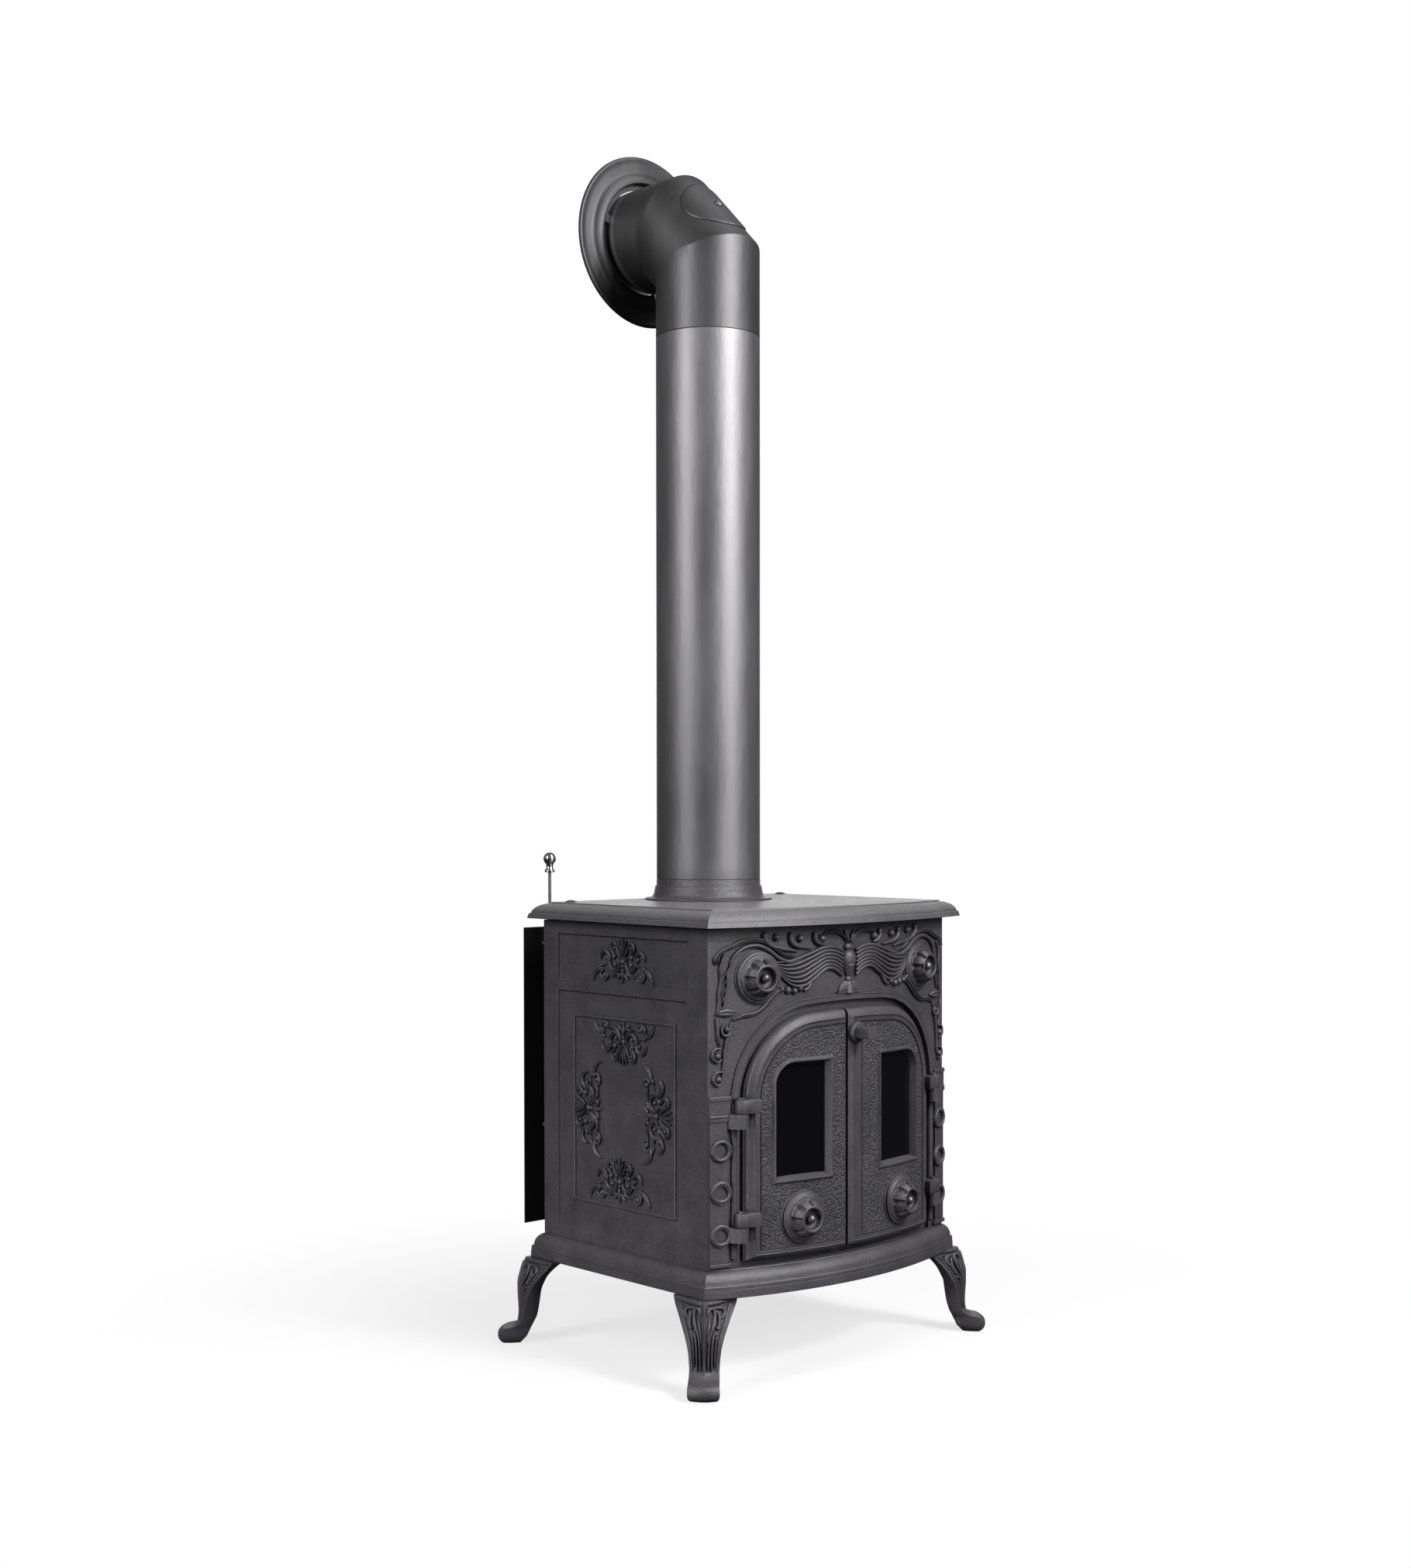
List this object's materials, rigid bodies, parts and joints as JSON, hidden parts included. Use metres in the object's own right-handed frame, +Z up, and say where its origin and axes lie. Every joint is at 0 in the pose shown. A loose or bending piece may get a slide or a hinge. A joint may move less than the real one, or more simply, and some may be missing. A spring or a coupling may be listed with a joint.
{
  "type": "cast-iron parlour stove",
  "caption": "Cast-iron parlour stove with bow-fronted glazed double doors, cabriole legs, spin dampers, a flue pipe with elbow and wall rosette, and a rear air-control rod.",
  "frame": {"origin": "on the floor, under the middle of the overall box, which is 4.6 mm behind the middle of the stove's body", "axes": "+X to the right as seen from the front, -Y out of the doors, +Y towards the wall, +Z up along the flue pipe"},
  "size_m": [0.5768, 0.5088, 1.722],
  "materials": {
    "iron": "blackened cast iron, dry satin",
    "black_iron": "sooted cast iron",
    "pipe": "dark grey satin stove enamel",
    "black_sheet": "matt black",
    "steel": "dull steel",
    "nickel": "polished nickel",
    "glass": "smoked heat-resistant glass",
    "rope": "woven rope seal",
    "brick": "matt refractory board"
  },
  "bodies": {
    "stove": {"base_plate": "iron", "leg_front_left": "iron", "leg_front_right": "iron", "leg_rear_left": "iron", "leg_rear_right": "iron", "leg_bolts": "steel", "left_side_panel": "iron", "right_side_panel": "iron", "back_panel": "iron", "front_frame": "iron", "top_plate": "iron", "tie_rods": "steel", "flue_collar": "iron", "collar_screw": "steel", "flue_pipe": "pipe", "elbow_riser": "pipe", "elbow_slant": "pipe", "elbow_outlet": "pipe", "wall_pipe": "pipe", "wall_rosette": "pipe", "rosette_springs": "nickel", "heat_shield": "black_sheet", "shield_spacers": "steel", "rod_guides": "iron", "left_hinge_pins": "steel", "right_hinge_pins": "steel", "upper_studs": "steel", "grate": "black_iron", "ash_pan": "steel", "baffle_plate": "black_iron", "left_firebrick": "brick", "right_firebrick": "brick", "rear_firebrick": "brick"},
    "elbow_hatch": {"elbow_hatch": "pipe", "hatch_screw": "steel"},
    "air_control": {"control_rod": "steel", "rod_knob": "nickel", "air_shutter": "iron"},
    "left_door": {"left_door": "iron", "left_glass": "glass", "left_glass_clips": "steel", "left_door_seal": "rope", "stud_lower_left": "steel"},
    "right_door": {"right_door": "iron", "right_glass": "glass", "right_glass_clips": "steel", "right_door_seal": "rope", "stud_lower_right": "steel"},
    "latch": {"latch_spindle": "iron", "latch_tongue": "iron"},
    "damper_lower_left": {"damper_lower_left": "iron"},
    "damper_lower_right": {"damper_lower_right": "iron"},
    "damper_upper_left": {"damper_upper_left": "iron"},
    "damper_upper_right": {"damper_upper_right": "iron"}
  },
  "joints": [
    {"name": "left_door_hinge", "type": "hinge", "parent": "stove", "child": "left_door", "pos_m": [-0.188, -0.1946, 0.29], "axis": [0, 0, 1], "range_deg": [-110, 0]},
    {"name": "right_door_hinge", "type": "hinge", "parent": "stove", "child": "right_door", "pos_m": [0.188, -0.1946, 0.29], "axis": [0, 0, 1], "range_deg": [0, 110]},
    {"name": "latch_turn", "type": "hinge", "parent": "right_door", "child": "latch", "pos_m": [-0.002, -0.2224, 0.452], "axis": [0, -1, 0], "range_deg": [0, 90]},
    {"name": "lower_left_damper_spin", "type": "hinge", "parent": "left_door", "child": "damper_lower_left", "pos_m": [-0.09427, -0.21527, 0.213], "axis": [-0.1588, -0.9873, 0], "continuous": true},
    {"name": "lower_right_damper_spin", "type": "hinge", "parent": "right_door", "child": "damper_lower_right", "pos_m": [0.09427, -0.21527, 0.213], "axis": [0.1588, -0.9873, 0], "continuous": true},
    {"name": "upper_left_damper_spin", "type": "hinge", "parent": "stove", "child": "damper_upper_left", "pos_m": [-0.1563, -0.19315, 0.532], "axis": [-0.1796, -0.9837, 0], "continuous": true},
    {"name": "upper_right_damper_spin", "type": "hinge", "parent": "stove", "child": "damper_upper_right", "pos_m": [0.1563, -0.19315, 0.532], "axis": [0.1796, -0.9837, 0], "continuous": true},
    {"name": "hatch_lift", "type": "slide", "parent": "stove", "child": "elbow_hatch", "axis": [0, -0.7071, 0.7071], "range_m": [0, 0.08]},
    {"name": "air_rod_lift", "type": "slide", "parent": "stove", "child": "air_control", "axis": [0, 0, 1], "range_m": [0, 0.03]}
  ]
}
